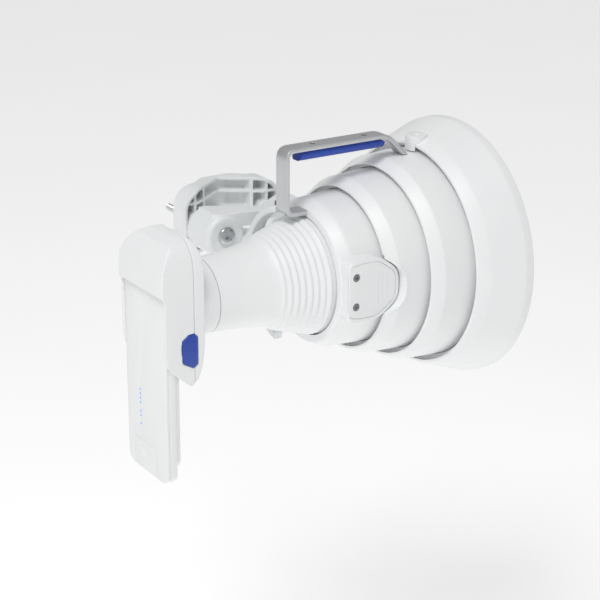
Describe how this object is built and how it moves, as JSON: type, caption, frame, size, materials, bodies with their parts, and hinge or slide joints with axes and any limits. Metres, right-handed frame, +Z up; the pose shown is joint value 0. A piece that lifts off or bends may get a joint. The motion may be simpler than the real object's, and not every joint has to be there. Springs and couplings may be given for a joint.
{
  "type": "outdoor wireless bridge",
  "caption": "Outdoor wireless bridge: slab radio in a latched cradle behind a stepped horn antenna with a lifting handle, on a tilting yoke and a V-jaw pole clamp",
  "frame": {"origin": "on the pole's axis, level with the clamp bolts", "axes": "+Z up along the pole, +X the way the horn points, +Y from the horn towards the pole"},
  "size_m": [0.4003, 0.3953, 0.3303],
  "materials": {
    "white_polymer": "moulded ASA, fine satin texture",
    "white_casting": "white powder coat on die-cast aluminium",
    "white_radome": "thermoformed ASA sheet, satin",
    "blue_polymer": "moulded nylon, satin",
    "satin_aluminium": "satin, bead blasted and anodised",
    "zinc_steel": "zinc plated",
    "dark_rubber": "matt",
    "circuit_board": "solder mask",
    "lens": "polished polycarbonate"
  },
  "bodies": {
    "clamp": {"front_jaw": "white_casting", "carriage_bolt_left": "zinc_steel", "carriage_bolt_right": "zinc_steel", "pivot_pin": "white_casting", "azimuth_lock_screw": "zinc_steel"},
    "rear_jaw": {"rear_jaw": "white_casting", "washer_left": "zinc_steel", "washer_right": "zinc_steel", "nut_left": "zinc_steel", "nut_right": "zinc_steel"},
    "yoke": {"yoke": "white_casting", "elevation_bolt": "zinc_steel", "yoke_screw": "zinc_steel", "yoke_screw_washer": "zinc_steel"},
    "horn": {"neck": "white_polymer", "ring_1": "white_polymer", "ring_2": "white_polymer", "ring_3": "white_polymer", "ring_4": "white_polymer", "radome": "white_radome", "radome_gasket": "dark_rubber", "side_cover_near": "white_polymer", "side_cover_far": "white_polymer", "cover_screw_near_low": "zinc_steel", "cover_screw_near_high": "zinc_steel", "cover_screw_far_low": "zinc_steel", "cover_screw_far_high": "zinc_steel", "throat_collar": "white_polymer", "waveguide_feed": "satin_aluminium", "handle_bar": "satin_aluminium", "handle_grip": "blue_polymer", "grip_screw_rear": "zinc_steel", "grip_screw_front": "zinc_steel", "accessory_pad": "white_polymer", "cradle_front_shell": "white_polymer", "cradle_rear_shell": "white_polymer", "latch_leaf_near": "satin_aluminium", "latch_leaf_far": "satin_aluminium"},
    "latch_near": {"latch_button_near": "blue_polymer"},
    "latch_far": {"latch_button_far": "blue_polymer"},
    "radio": {"front_cover": "white_polymer", "radio_base": "white_polymer", "rear_housing": "white_polymer", "network_socket": "dark_rubber", "circuit_board": "circuit_board", "shield_can": "satin_aluminium", "light_pipe": "lens"},
    "port_door": {"port_door": "white_polymer"}
  },
  "joints": [
    {"name": "rear_jaw_slide", "type": "slide", "parent": "clamp", "child": "rear_jaw", "axis": [0, 1, 0], "range_m": [-0.018, 0.01]},
    {"name": "azimuth_pivot", "type": "hinge", "parent": "clamp", "child": "yoke", "pos_m": [0.009, -0.051, 0], "axis": [0, 0, 1], "range_deg": [-6, 6]},
    {"name": "elevation_pivot", "type": "hinge", "parent": "yoke", "child": "horn", "pos_m": [-0.038, -0.1, -0.015], "axis": [0, 1, 0], "range_deg": [-8, 8]},
    {"name": "radio_slide", "type": "slide", "parent": "horn", "child": "radio", "axis": [0, 0, -1], "range_m": [0, 0.055]},
    {"name": "latch_near_press", "type": "slide", "parent": "horn", "child": "latch_near", "axis": [0, 1, 0], "range_m": [0, 0.0025], "stiffness_N_per_m": 800},
    {"name": "latch_far_press", "type": "slide", "parent": "horn", "child": "latch_far", "axis": [0, -1, 0], "range_m": [0, 0.0025], "stiffness_N_per_m": 800},
    {"name": "port_door_slide", "type": "slide", "parent": "radio", "child": "port_door", "axis": [0, 0, -1], "range_m": [0, 0.034]}
  ]
}
